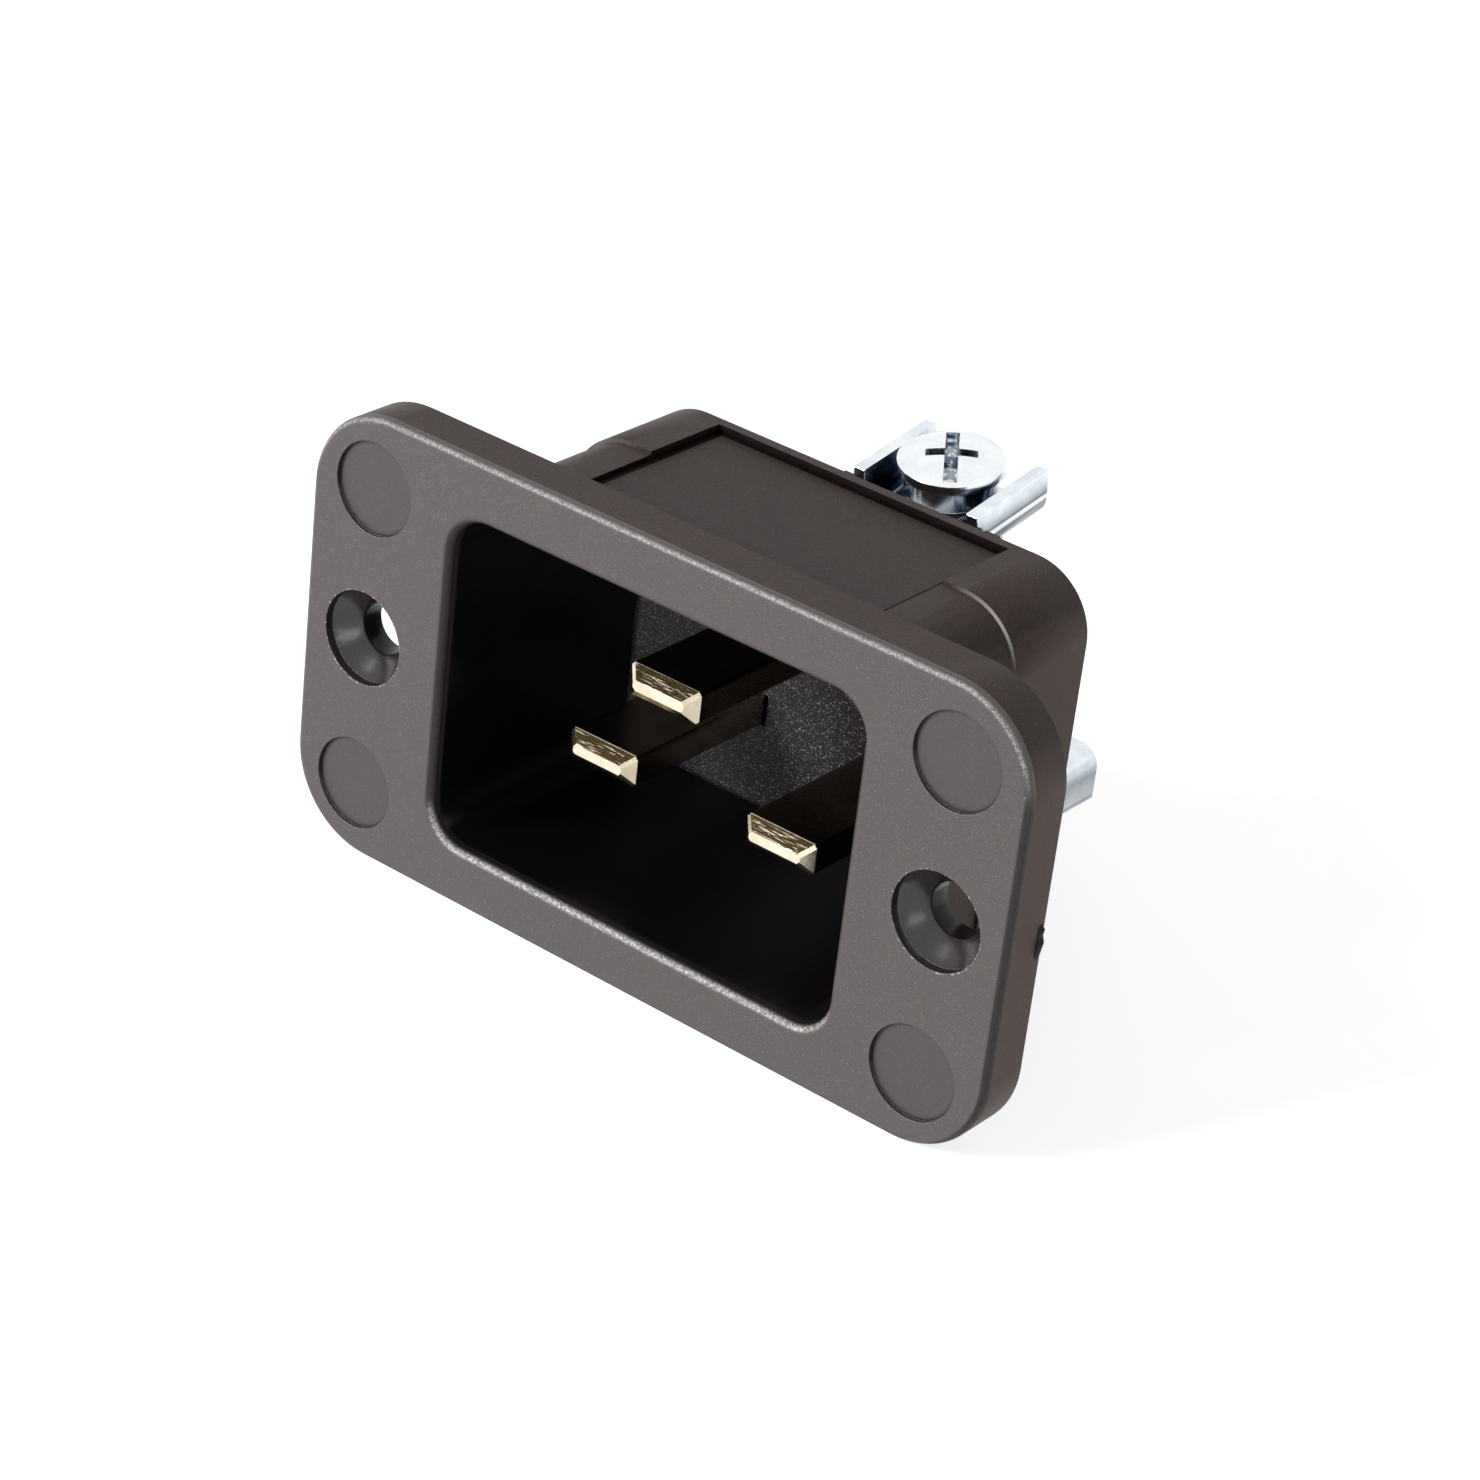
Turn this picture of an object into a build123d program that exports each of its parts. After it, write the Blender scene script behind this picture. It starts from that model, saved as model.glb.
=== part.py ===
from build123d import *
import math
import os

# Three-pin 16 A appliance inlet for mounting in a panel, in millimetres.
# X runs to the right seen from the front, the front faces -Y, and Z is up.
# The origin is the centre of the flange's back face, where the panel lies.

# Pins, as the appliance connector needs them
pin_pitch = 13.0
earth_above_line = 8.0
earth_below_cavity_top = 5.95
pin_width = 5.0
pin_thickness = 2.0
pin_tip_bevel = 0.68
pin_tip_length = 0.65
line_tip_set_back = 4.75
earth_tip_set_back = 1.3
pin_edge_bevel = 0.2

# Shroud cavity that takes the connector
cavity_width = 29.2
cavity_height = 20.6
cavity_corner = 2.4
cavity_depth = 17.0
cavity_draft = 1.3
cavity_lip = 0.6

# Flange and its panel screws
flange_thickness = 3.3
flange_ear = 10.7
flange_rim = 3.7
flange_corner = 5.6
flange_edge_round = 0.45
screw_hole_inset = 4.6
screw_hole_diameter = 3.2
screw_seat_diameter = 5.8
screw_seat_step = 0.55
screw_seat_angle = 90.0

# Round shallow fields in the flange's corners
field_inset_x = 4.7
field_inset_z = 4.5
field_diameter = 5.7
field_depth = 0.25

# Body behind the panel
side_wall = 1.1
top_wall = 1.7
floor_thickness = 2.1
body_step = 0.2
body_step_from_panel = 8.6
body_edge_bevel = 0.35
label_margin = 5.3
label_rear_margin = 1.1
label_depth = 0.3

# Pin bosses and the posts that guide each clamp
boss_length = 3.6
boss_below_pin = 2.3
boss_above_pin = 2.3
post_thickness = 1.0
line_post_reach = 1.2
earth_post_reach = 1.8
post_below_open_clamp = 0.85
slot_side_clearance = 0.15
barb_length = 1.6

# Terminal screws and their lock washers
thread_diameter = 3.5
thread_clearance = 0.04
shank_past_collar = 3.1
head_overhang = 0.45
head_shoulder = 1.4
head_rim = 0.6
head_dome = 0.5
slot_margin = 0.4
slot_width = 0.8
slot_depth = 0.95
cross_width = 0.85
cross_margin = 1.2
cross_depth = 1.35
cross_tip_span = 1.3
cross_tip_width = 0.6
washer_clearance = 0.15
washer_ring_width = 0.85
washer_thickness = 1.1
washer_split = 0.5

# Clamp plates, folded from sheet
clamp_length = 7.0
clamp_height = 3.3
clamp_sheet = 0.8
clamp_bend = 0.6
clamp_hole_clearance = 0.3
clamp_to_head = 0.5
clamp_side_clearance = 0.15
line_clamp_from_bend = 0.4
earth_clamp_from_bend = 1.35

# Pin tails with their tapped collars: the earth pin's is bent up a little behind the boss
tail_margin = 0.5
tail_bend_from_boss = 0.4
line_tail_angle = 0.0
earth_tail_angle = 9.0
collar_wall = 0.95
collar_height = 1.3

# How far each clamp stands off its tail, and how far its screw's slot is turned
earth_clamp_opening = 1.35
line_clamp_opening = 0.0
earth_slot_turn = 125.0
line_slot_turn = 0.0

# Places that follow from the sizes above
front_y = -flange_thickness
floor_y = front_y + cavity_depth
rear_y = floor_y + floor_thickness
boss_end_y = rear_y + boss_length
bend_y = boss_end_y + tail_bend_from_boss
line_screw_from_bend = line_clamp_from_bend + clamp_length / 2
earth_screw_from_bend = earth_clamp_from_bend + clamp_length / 2
flange_width = cavity_width + 2 * flange_ear
flange_height = cavity_height + 2 * flange_rim
screw_x = flange_width / 2 - screw_hole_inset
body_width = cavity_width + 2 * side_wall
body_height = cavity_height + 2 * top_wall
body_corner = cavity_corner + (side_wall + top_wall) / 2
earth_z = cavity_height / 2 - earth_below_cavity_top
line_z = earth_z - earth_above_line
thread_radius = thread_diameter / 2 - thread_clearance
washer_inner_diameter = thread_diameter + 2 * washer_clearance
washer_outer_diameter = washer_inner_diameter + 2 * washer_ring_width
head_diameter = washer_outer_diameter + 2 * head_overhang
slot_span = head_diameter - 2 * slot_margin
cross_span = head_diameter - 2 * cross_margin
crown = head_shoulder + head_rim + head_dome
clamp_inside = head_diameter + 2 * clamp_to_head
clamp_width = clamp_inside + 2 * clamp_sheet
clamp_hole_diameter = thread_diameter + 2 * clamp_hole_clearance
collar_diameter = thread_diameter + 2 * collar_wall
tail_width = collar_diameter + 2 * tail_margin
shank_length = washer_thickness + clamp_sheet + pin_thickness + collar_height + shank_past_collar
post_inner = clamp_width / 2 + clamp_side_clearance
post_outer = post_inner + post_thickness
post_top = pin_thickness / 2 + earth_clamp_opening + clamp_height - post_below_open_clamp

# Cuts run this far past the surface they open, and edges lie on a plane within the second figure
over = 1.0
close_to = 0.001

FACING_UP = 1
FACING_DOWN = -1
TERMINALS = {
    "line": (pin_pitch / 2, line_z, FACING_DOWN),
    "neutral": (-pin_pitch / 2, line_z, FACING_DOWN),
    "earth": (0.0, earth_z, FACING_UP),
}


def of_each(line, earth):
    """One value for the line and neutral terminals, and another for the earth terminal."""
    return {"line": line, "neutral": line, "earth": earth}


TIP_SET_BACK = of_each(line_tip_set_back, earth_tip_set_back)
POST_REACH = of_each(line_post_reach, earth_post_reach)
TAIL_ANGLE = of_each(line_tail_angle, earth_tail_angle)
SCREW_FROM_BEND = of_each(line_screw_from_bend, earth_screw_from_bend)
CLAMP_OPENING = of_each(line_clamp_opening, earth_clamp_opening)
SLOT_TURN = of_each(line_slot_turn, earth_slot_turn)


def facing_front(y, x=0.0, z=0.0):
    """A sketch plane across the part: its X is the part's X, its Y is up, and it faces the front."""
    return Plane(origin=(x, y, z), x_dir=(1, 0, 0), z_dir=(0, -1, 0))


def slab(width, height, corner, y_front, y_rear):
    """A rounded rectangle drawn across the part and carried from one depth to another."""
    outline = facing_front(y_rear) * RectangleRounded(width, height, corner)
    return extrude(outline, y_rear - y_front)


def box_between(low, high):
    """A plain block between two corners."""
    size = [b - a for a, b in zip(low, high)]
    centre = [(a + b) / 2 for a, b in zip(low, high)]
    return Pos(*centre) * Box(*size)


def round_along_y(radius, y_front, y_rear, x, z):
    """A cylinder along the part's depth."""
    return extrude(facing_front(y_rear, x, z) * Circle(radius), y_rear - y_front)


def placed(name, solid):
    """Moves a piece of a terminal to its own pin, from a model on the Y axis with its screw above."""
    x, z, facing = TERMINALS[name]
    turn = 0 if facing == FACING_UP else 180
    return Pos(x, 0, z) * Rot(0, turn, 0) * solid


def along_tail(name):
    """The frame of a tail: its origin is the bend, and it is tipped as the tail is."""
    return Pos(0, bend_y, 0) * Rot(TAIL_ANGLE[name], 0, 0)


def at_screw(name, solid):
    """Moves a piece to its terminal, from a model on the screw's axis with z = 0 in mid tail."""
    return placed(name, along_tail(name) * Pos(0, SCREW_FROM_BEND[name], 0) * solid)


def flange():
    plate = slab(flange_width, flange_height, flange_corner, front_y, 0)
    front_edges = plate.faces().sort_by(Axis.Y)[0].edges()
    return fillet(front_edges, flange_edge_round)


def panel_screw_hole(x):
    """A countersunk hole with a short straight step above its cone."""
    seat_radius = screw_seat_diameter / 2
    hole_radius = screw_hole_diameter / 2
    cone_top_y = front_y + screw_seat_step
    cone_depth = (seat_radius - hole_radius) / math.tan(math.radians(screw_seat_angle / 2))
    profile = Polyline(
        (0, front_y - over),
        (seat_radius, front_y - over),
        (seat_radius, cone_top_y),
        (hole_radius, cone_top_y + cone_depth),
        (hole_radius, over),
        (0, over),
        close=True,
    )
    return Pos(x, 0, 0) * revolve(make_face(profile), Axis.Y)


def corner_fields():
    """The shallow round fields, one in each corner of the flange."""
    x = flange_width / 2 - field_inset_x
    z = flange_height / 2 - field_inset_z
    corners = [(x, z), (-x, z), (-x, -z), (x, -z)]
    return [round_along_y(field_diameter / 2, front_y - over, front_y + field_depth, *c) for c in corners]


def body():
    """The shroud behind the panel, in two stages that meet at a small step."""
    front = slab(body_width, body_height, body_corner, -flange_thickness / 2, body_step_from_panel)
    wide = body_width + 2 * body_step
    high = body_height + 2 * body_step
    rear = slab(wide, high, body_corner + body_step, body_step_from_panel, rear_y)
    rear_edges = rear.faces().sort_by(Axis.Y)[-1].edges()
    return front + chamfer(rear_edges, body_edge_bevel)


def cavity():
    """The space for the connector, narrowing towards its floor as the mould's core does."""
    mouth = facing_front(front_y) * RectangleRounded(cavity_width, cavity_height, cavity_corner)
    return extrude(mouth, -cavity_depth, taper=cavity_draft)


def label_field():
    """The rectangular field sunk in the top of the body."""
    half = body_width / 2 - label_margin
    low_z = body_height / 2 - label_depth
    high_z = body_height / 2 + body_step + over
    return box_between((-half, 0, low_z), (half, rear_y - label_rear_margin, high_z))


def boss(name):
    """A block for one pin with the two posts that keep its clamp square."""
    post_end_y = boss_end_y + POST_REACH[name]
    y = rear_y - floor_thickness / 2
    block = box_between((-post_outer, y, -boss_below_pin), (post_outer, boss_end_y, boss_above_pin))
    for side in (-1, 1):
        inner, outer = sorted((side * post_inner, side * post_outer))
        block += box_between((inner, y, -boss_below_pin), (outer, post_end_y, post_top))
    return block


def pin_slot():
    """The way through the floor and boss for one pin."""
    half = pin_width / 2 + slot_side_clearance
    height = pin_thickness / 2
    return box_between((-half, floor_y - over, -height), (half, boss_end_y + over, height))


def housing():
    """The one-piece moulding: flange, shroud, floor, bosses and guide posts."""
    part = flange() + body()
    for name in TERMINALS:
        part += placed(name, boss(name))
    part -= cavity()
    part -= label_field()
    for side in (-1, 1):
        part -= panel_screw_hole(side * screw_x)
    for field in corner_fields():
        part -= field
    for name in TERMINALS:
        part -= placed(name, pin_slot())
    mouth = [e for e in part.edges() if on_mouth(e)]
    return fillet(mouth, cavity_lip)


def on_mouth(edge):
    """Whether an edge belongs to the cavity's outline in the flange's front face."""
    box = edge.bounding_box()
    flat = abs(box.min.Y - front_y) < close_to and abs(box.max.Y - front_y) < close_to
    inside_x = max(abs(box.min.X), abs(box.max.X)) < cavity_width / 2 + close_to
    inside_z = max(abs(box.min.Z), abs(box.max.Z)) < cavity_height / 2 + close_to
    return flat and inside_x and inside_z


def pin_section(y, inset=0.0):
    """A blade's outline at one depth, with its corners cut."""
    outline = Rectangle(pin_width - 2 * inset, pin_thickness - 2 * inset)
    return facing_front(y) * chamfer(outline.vertices(), pin_edge_bevel)


def blade(tip_y):
    """The part of a pin that a connector grips, with its bevelled tip."""
    tip_root_y = tip_y + pin_tip_length
    full = extrude(pin_section(boss_end_y), boss_end_y - tip_root_y)
    root = pin_section(tip_root_y)
    end = pin_section(tip_y, pin_tip_bevel)
    return full + loft([root.face(), end.face()])


def barbs():
    """Wedges on both edges of a blade that grip the sides of its slot."""
    y = (rear_y + boss_end_y) / 2
    edge = pin_width / 2
    tip = edge + slot_side_clearance
    height = pin_thickness / 2
    wedges = []
    for side in (-1, 1):
        points = ((0, y), (side * edge, y), (side * tip, y + barb_length), (0, y + barb_length))
        outline = make_face(Polyline(*points, close=True))
        wedges.append(extrude(Pos(0, 0, -height / 2) * outline, height, dir=(0, 0, 1)))
    return wedges


def tail(name):
    """The wider end of a pin behind the boss, round about its screw, with its tapped collar."""
    reach = SCREW_FROM_BEND[name]
    half_width = tail_width / 2
    half_thickness = pin_thickness / 2
    collar_z = -half_thickness - collar_height / 2
    leaf = box_between((-half_width, 0, -half_thickness), (half_width, reach, half_thickness))
    leaf += Pos(0, reach, 0) * Cylinder(half_width, pin_thickness)
    leaf += Pos(0, reach, collar_z) * Cylinder(collar_diameter / 2, collar_height)
    leaf -= Pos(0, reach, 0) * Cylinder(thread_diameter / 2, 2 * (pin_thickness + collar_height))
    if TAIL_ANGLE[name]:
        leaf += Rot(0, 90, 0) * Cylinder(half_thickness, pin_width)
    root = box_between((-half_width, boss_end_y, -half_thickness), (half_width, bend_y, half_thickness))
    return root + along_tail(name) * leaf


def pin(name):
    tip_y = front_y + TIP_SET_BACK[name]
    solid = blade(tip_y) + tail(name)
    for barb in barbs():
        solid += barb
    return placed(name, solid)


def clamp_base(name):
    """The height of a clamp's underside above the middle of its tail."""
    return pin_thickness / 2 + CLAMP_OPENING[name]


def clamp(name):
    """A channel folded from sheet: its web presses the wire and its walls stand beside the screw head."""
    base = clamp_base(name)
    channel = Pos(0, 0, base + clamp_height / 2) * Box(clamp_width, clamp_length, clamp_height)
    outer_bends = channel.edges().filter_by(Axis.Y).group_by(Axis.Z)[0]
    channel = fillet(outer_bends, clamp_bend + clamp_sheet)
    inside = Pos(0, 0, base + clamp_sheet + clamp_height / 2)
    trough = inside * Box(clamp_inside, clamp_length + over, clamp_height)
    inner_bends = trough.edges().filter_by(Axis.Y).group_by(Axis.Z)[0]
    channel -= fillet(inner_bends, clamp_bend)
    channel -= Pos(0, 0, base) * Cylinder(clamp_hole_diameter / 2, 2 * (clamp_sheet + over))
    return at_screw(name, channel)


def lock_washer(name):
    """A split spring washer on the web of the clamp."""
    middle = clamp_base(name) + clamp_sheet + washer_thickness / 2
    ring = Cylinder(washer_outer_diameter / 2, washer_thickness)
    ring -= Cylinder(washer_inner_diameter / 2, 2 * washer_thickness)
    reach = washer_outer_diameter
    ring -= Pos(reach / 2, 0, 0) * Box(reach, washer_split, 2 * washer_thickness)
    return at_screw(name, Pos(0, 0, middle) * ring)


def driver_recess():
    """The long slot and the shorter cross in a screw head, sunk from its crown at z = 0."""
    recess = Pos(0, 0, -slot_depth / 2) * Box(slot_span, slot_width, slot_depth)
    for turn in (0, 90):
        top = Plane.XY.offset(over / 2) * Rectangle(cross_span, cross_width)
        bottom = Plane.XY.offset(-cross_depth) * Rectangle(cross_tip_span, cross_tip_width)
        recess += Rot(0, 0, turn) * loft([top.face(), bottom.face()])
    return recess


def terminal_screw(name):
    """A screw with a low domed head on a round shoulder, standing on its lock washer."""
    seat = clamp_base(name) + clamp_sheet + washer_thickness
    rim = head_diameter / 2
    shoulder = washer_outer_diameter / 2
    side = Polyline(
        (0, -shank_length),
        (thread_radius, -shank_length),
        (thread_radius, 0),
        (shoulder, 0),
        (shoulder, head_shoulder),
        (rim, head_shoulder),
        (rim, head_shoulder + head_rim),
    )
    dome = TangentArc((0, crown), (rim, head_shoulder + head_rim), tangent=(1, 0))
    centre_line = Line((0, crown), (0, -shank_length))
    profile = Plane.XZ * make_face(Curve() + [side, dome, centre_line])
    solid = revolve(profile, Axis.Z) - Pos(0, 0, crown) * driver_recess()
    return at_screw(name, Pos(0, 0, seat) * Rot(0, 0, SLOT_TURN[name]) * solid)


def write(node, solid):
    export_step(solid, os.path.join("parts", node + ".step"))


os.makedirs("parts", exist_ok=True)
write("housing", housing())
for terminal in TERMINALS:
    write(terminal + "_pin", pin(terminal))
    write(terminal + "_clamp", clamp(terminal))
    write(terminal + "_lock_washer", lock_washer(terminal))
    write(terminal + "_screw", terminal_screw(terminal))
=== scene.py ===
import math

import bmesh
import bpy
from mathutils import Matrix, Vector


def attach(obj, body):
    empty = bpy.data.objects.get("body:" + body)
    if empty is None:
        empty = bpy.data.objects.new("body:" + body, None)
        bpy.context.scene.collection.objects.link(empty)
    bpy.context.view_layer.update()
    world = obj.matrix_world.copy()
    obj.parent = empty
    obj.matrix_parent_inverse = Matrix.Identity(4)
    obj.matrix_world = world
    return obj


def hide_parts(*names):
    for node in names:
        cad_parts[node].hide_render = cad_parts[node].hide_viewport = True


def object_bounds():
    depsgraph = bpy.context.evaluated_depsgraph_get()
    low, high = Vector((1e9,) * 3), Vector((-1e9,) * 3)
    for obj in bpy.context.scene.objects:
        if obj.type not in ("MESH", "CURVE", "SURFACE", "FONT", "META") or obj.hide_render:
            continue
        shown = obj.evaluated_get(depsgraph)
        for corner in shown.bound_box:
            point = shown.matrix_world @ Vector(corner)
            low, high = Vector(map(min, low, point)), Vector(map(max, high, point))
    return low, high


MM = 0.001

# Viewpoint of the photograph, found from the flange, the cavity and the pins
VIEW_AZIMUTH = 35.922
VIEW_ELEVATION = 28.163
VIEW_ROLL = -6.807
VIEW_DISTANCE = 225.06 * MM
VIEW_TARGET = Vector((4.397, 0, 2.788)) * MM
VIEW_LENS = 100.3
SENSOR = 36.0
CLIP_START = 0.005
CLIP_END = 20.0

# Lamps by name, with their place, size and power, and the light of the world and floor
LAMPS = {
    "key": ((-0.36, -0.60, 0.42), 0.30, 5.0),
    "fill": ((0.46, -0.70, 0.02), 0.50, 2.7),
}
WORLD_LIGHT = 0.20
FLOOR_GLOW = 0.76
FLOOR_REACH = 3.0

# Places on the housing, in millimetres
FRONT_Y = -3.3
CAVITY_HALF_X = 14.75
CAVITY_HALF_Z = 10.45
LIP_WIDTH = 0.65
LIP_END_Y = -2.75
CAVITY_FLOOR_Y = 13.55
SCREW_HOLE_X = 20.7
SCREW_SEAT_RADIUS = 2.95
SCREW_BORE_Y = -1.5
FIELD_X = 20.6
FIELD_Z = 9.5
FIELD_RADIUS = 2.86
LABEL_HALF_X = 10.4
LABEL_Z = 11.7
LABEL_END_Y = 14.7
BODY_STEP_Y = 8.6

# How far the housing's areas reach past their edges or stop short of them, in millimetres
MARGIN = 0.05
FINE_MARGIN = 0.03
LIP_BLEND = 0.3
LIP_FADE = 0.1
CAVITY_FLOOR_DEPTH = 0.5
LABEL_WALL_START = 0.02
LABEL_SIDE_BORDER = 0.45
LABEL_END_BORDER = 0.2
SEAT_EDGE_DEPTH = 0.12
SIDE_FACE_START = 0.5
STEP_REACH = 0.4

# Where on the housing a look sets in and where it is full, in millimetres
TOP_EDGE_Z = (10.9, 11.6)
STEP_SPARKLE_X = (11.0, 14.0)
STEP_SPARKLE_Z = (7.5, 9.5)
# Painted light across the cavity floor
FLOOR_PAINTED_LIGHT_X = (-11.0, 6.0)

# How near other surfaces bring painted shade into a gap, and how deep the grain is, in millimetres
PLASTIC_GAP = 0.5
ZINC_GAP = 2.4
PLASTIC_GRAIN_DEPTH = 0.06
BRASS_GRAIN_DEPTH = 0.02
ZINC_GRAIN_DEPTH = 0.03

# The mould's gate on the flange's right edge, in millimetres, with its steps along and around
GATE_X = 25.25
GATE_Y = -0.31
GATE_Z = -0.3
GATE_PROUD = 0.38
GATE_HALF_LENGTH = 1.15
GATE_HALF_WIDTH = 0.3
GATE_RINGS = 7
GATE_STEPS = 8

# Places on the terminals, in millimetres, with heights along their own screws
EARTH_SCREW_Y = 24.59
EARTH_SCREW_Z = 5.109
EARTH_LEAN = math.radians(9)
EARTH_CLAMP_FOOT = 2.35
EARTH_SEAT = 4.25
LINE_SCREW_X = 6.5
LINE_SCREW_Y = 23.7
LINE_TAIL_Z = -3.65
LINE_SEAT = 2.9
LINE_CLAMP_FOOT = 1.0
CLAMP_HEIGHT = 3.3

# The screws' thread, in millimetres, with its steps around a turn and its rings along one
SHANK_RADIUS = 1.71
SHANK_LENGTH = 8.3
THREAD_PITCH = 0.6
THREAD_DEPTH = 0.32
TIP_BEVEL = 0.35
THREAD_STEPS = 40
THREAD_RINGS = 8
SAME_PLACE = 0.01

# Rounding of the pieces' edges, in millimetres
PLASTIC_EDGE = 0.07
METAL_EDGE = 0.09
WELD_DISTANCE = 0.001
EDGE_ANGLE = math.radians(35)

# Painted reflections: greys that a clamp's wall mirrors, each with its height over the foot in
# millimetres
EARTH_PAINTED_REFLECTIONS = [
    (0.0, 0.12), (1.35, 0.20), (1.50, 0.95), (1.68, 0.95),
    (1.80, 0.16), (2.05, 0.45), (2.6, 0.80), (3.3, 0.95),
]
LINE_PAINTED_REFLECTIONS = [
    (0.0, 0.90), (0.55, 1.0), (0.95, 0.62), (1.5, 0.42),
    (2.2, 0.50), (2.9, 0.60), (3.15, 0.35), (3.3, 0.9),
]

# Patterns: how fine they are to a millimetre, their detail and their roughness
GRAIN = (4.6, 4.0, 0.68)
FINE_GRAIN = (11.0, 3.0, 0.6)
MOTTLE = (0.35, 2.0)
DRAWN_LINES = (2.2, 3.0, 0.6)
TIP_STREAKS = (2.6, 3.0, 0.65)
BRASS_CLOUD = (0.7, 2.0)
BRASS_BLOTCH = (2.2, 3.0, 0.6)
ZINC_CLOUD = (0.9, 3.0)
ZINC_FINE = (9.0, 2.0)
ZINC_RIPPLE = (2.4, 3.0, 0.6)
ZINC_GLINTS = (2.2, 2.0)
TORN_TONE = (3.0, 3.0)
FLOOR_CLOUD = (0.004, 2.0)

# Scales along X, Y and Z that draw a pattern out along the blade or across its tip
ALONG_BLADE = (6.0, 0.5, 6.0)
ACROSS_TIP = (0.3, 4.5, 4.5)

# Roughness of the surfaces
PLASTIC_ROUGHNESS = (0.38, 0.55)
SEAT_ROUGHNESS = 0.22
WALL_ROUGHNESS = 0.30
TORN_ROUGHNESS = 0.5
BRASS_ROUGHNESS = (0.10, 0.26)
CREST_ROUGHNESS = 0.65
SHEET_ROUGHNESS = 0.16
SCREW_ROUGHNESS = 0.22
FLOOR_ROUGHNESS = 0.8

# Colours of the black plastic, with its painted shade, painted light, painted highlights and
# painted glints
OUTER_DARK = (0.046, 0.033, 0.031)
OUTER_LIGHT = (0.090, 0.068, 0.063)
FRONT_GREY = (0.068, 0.062, 0.060)
# Painted glints: pale specks over the grain
OUTER_PAINTED_GLINT = (0.34, 0.32, 0.31)
SUNK_BLACK = (0.022, 0.018, 0.018)
# Painted shade on the cavity's rounded lip, darker inward
LIP_PAINTED_SHADE = (0.008, 0.006, 0.007)
# Painted highlight on the rounded edges and the lip
RIM_PAINTED_HIGHLIGHT = (0.66, 0.64, 0.63)
# Painted highlight along the body's step
STEP_PAINTED_HIGHLIGHT = (0.56, 0.53, 0.51)
# Painted light on the side faces
SIDE_PAINTED_LIGHT = (0.170, 0.125, 0.108)
# Painted shade on the front's right-facing edges
TURNED_PAINTED_SHADE = (0.026, 0.019, 0.021)
# Painted glints along the seats' edges
SEAT_EDGE_PAINTED_GLINT = (0.56, 0.54, 0.53)
SEAT_BLACK = (0.016, 0.014, 0.017)
# Painted shade in the screw bores
BORE_PAINTED_SHADE = (0.006, 0.005, 0.005)
# Painted shade on the label's walls and border
CORNER_PAINTED_SHADE = (0.006, 0.004, 0.004)
# Painted shade in gaps
GAP_PAINTED_SHADE = (0.004, 0.003, 0.003)
# Painted shade on the cavity's walls
CAVITY_WALL_PAINTED_SHADE = (0.0028, 0.002, 0.003)
# Painted light on the cavity floor's left and painted shade on its right
CAVITY_FLOOR_PAINTED_LIGHT = (0.085, 0.078, 0.085)
CAVITY_FLOOR_PAINTED_SHADE = (0.017, 0.014, 0.016)
# Painted glints on the cavity floor
CAVITY_FLOOR_PAINTED_GLINT = (0.62, 0.60, 0.64)
GATE_DARK = (0.002, 0.0015, 0.0015)
GATE_LIGHT = (0.008, 0.006, 0.006)

# Colours of the brass, the zinc and the floor, with painted reflections on the brass and painted
# shade on the zinc
BRASS_DARK = (0.70, 0.62, 0.46)
BRASS_LIGHT = (0.86, 0.80, 0.66)
BRASS_STAIN = (0.50, 0.39, 0.24)
# Painted reflections on the blade and on the tip's facets
BLADE_PAINTED_REFLECTION = (0.10, 0.070, 0.048)
TIP_TOP_PAINTED_REFLECTION = (0.030, 0.020, 0.009)
TIP_SIDE_PAINTED_REFLECTION = (0.30, 0.25, 0.16)
SHEET_BASE = (0.74, 0.79, 0.84)
SHEET_LIGHT = (0.90, 0.93, 0.96)
SCREW_BASE = (0.84, 0.88, 0.91)
SCREW_LIGHT = (0.95, 0.97, 0.98)
# Painted shade in gaps
ZINC_GAP_PAINTED_SHADE = (0.015, 0.05, 0.10)
# Painted shade on undersides
ZINC_UNDERSIDE_PAINTED_SHADE = (0.03, 0.05, 0.06)
FLOOR_DARK = (0.84, 0.84, 0.84)
FLOOR_LIGHT = (0.88, 0.88, 0.88)


def new_material(name):
    """An empty node material with its shader and its output."""
    material = bpy.data.materials.new(name)
    material.use_nodes = True
    tree = material.node_tree
    tree.nodes.clear()
    output = tree.nodes.new("ShaderNodeOutputMaterial")
    shader = tree.nodes.new("ShaderNodeBsdfPrincipled")
    tree.links.new(shader.outputs["BSDF"], output.inputs["Surface"])
    return material, tree, shader


def add(tree, kind, **settings):
    """A node with the properties given by name, and its inputs given as in_NAME."""
    node = tree.nodes.new(kind)
    for key, value in settings.items():
        if key.startswith("in_"):
            node.inputs[key[3:].replace("_", " ")].default_value = value
        else:
            setattr(node, key, value)
    return node


def math_node(tree, operation, first, second):
    """One sum, product or comparison of two values or sockets."""
    node = tree.nodes.new("ShaderNodeMath")
    node.operation = operation
    for socket, value in zip(node.inputs, (first, second)):
        if isinstance(value, (int, float)):
            socket.default_value = value
        else:
            tree.links.new(value, socket)
    return node.outputs[0]


def times(tree, *values):
    """The product of any number of values or sockets."""
    product = values[0]
    for value in values[1:]:
        product = math_node(tree, "MULTIPLY", product, value)
    return product


def either(tree, *values):
    """The largest of any number of values or sockets."""
    largest = values[-1]
    for value in values[-2::-1]:
        largest = math_node(tree, "MAXIMUM", value, largest)
    return largest


def without(tree, value):
    """1 where a value is 0, and 0 where it is 1."""
    return math_node(tree, "SUBTRACT", 1.0, value)


def size_of(tree, value):
    """A value without its sign."""
    return math_node(tree, "ABSOLUTE", value, 0.0)


def below(tree, value, limit):
    """1 where a value is below a limit."""
    return math_node(tree, "LESS_THAN", value, limit)


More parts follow.
